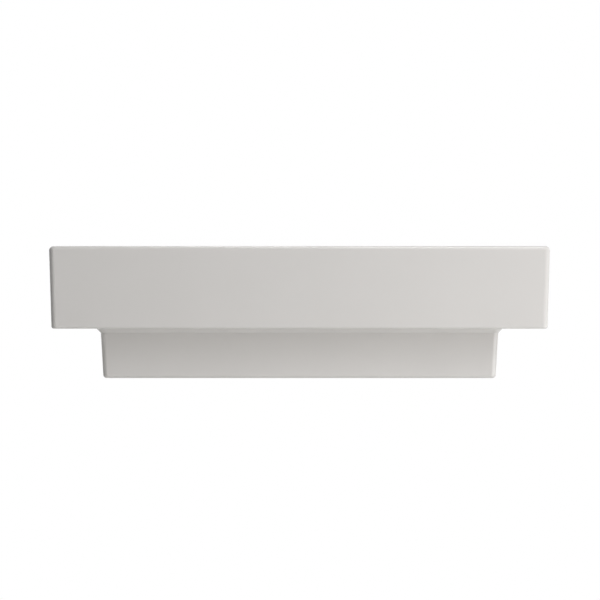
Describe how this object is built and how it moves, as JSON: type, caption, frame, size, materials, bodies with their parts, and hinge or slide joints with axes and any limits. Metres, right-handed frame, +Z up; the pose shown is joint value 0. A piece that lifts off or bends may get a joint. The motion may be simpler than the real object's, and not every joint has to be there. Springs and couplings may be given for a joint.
{
  "type": "wall-hung basin",
  "caption": "Square-edged wall-hung washbasin with a rectangular bowl, tap hole, overflow, click waste and wall studs, over a set-back lower box.",
  "frame": {"origin": "on the wall plane, midway between the two fixing studs", "axes": "+Z up, +X to the right seen from the front, -Y out of the wall towards the user"},
  "size_m": [0.6, 0.542, 0.16],
  "materials": {
    "china": "glazed",
    "chrome_plate": "polished",
    "black_rubber": "matt",
    "white_plastic": "moulded",
    "raw_brass": "turned",
    "steel": "zinc plated"
  },
  "bodies": {
    "basin": {"basin_body": "china", "overflow_ring": "chrome_plate", "waste_body": "chrome_plate", "flange_gasket": "black_rubber", "taper_washer": "black_rubber", "slip_washer": "white_plastic", "back_nut": "raw_brass", "click_housing": "white_plastic", "click_gland": "white_plastic", "click_spring": "steel", "click_nut": "steel", "hanger_bolts": "steel", "fixing_bushes": "white_plastic", "fixing_washers": "steel", "fixing_nuts": "steel"},
    "plug": {"plug_cap": "chrome_plate", "plug_seal": "black_rubber", "plug_post": "steel", "post_locknut": "steel", "click_plunger": "white_plastic"},
    "rotor": {"click_rotor": "white_plastic"}
  },
  "joints": [
    {"name": "plug_slide", "type": "slide", "parent": "basin", "child": "plug", "axis": [0, 0, 1], "range_m": [-0.009, 0], "stiffness_N_per_m": 400, "springref_m": 0.006, "deforming": ["click_spring"]},
    {"name": "rotor_turn", "type": "hinge", "parent": "plug", "child": "rotor", "pos_m": [0, -0.2825, -0.0146], "axis": [0, 0, 1], "range_deg": [-1, 46]}
  ],
  "couplings": [
    {"joint": "rotor_turn", "follows": "plug_slide", "rad_per_m": -87.266}
  ]
}
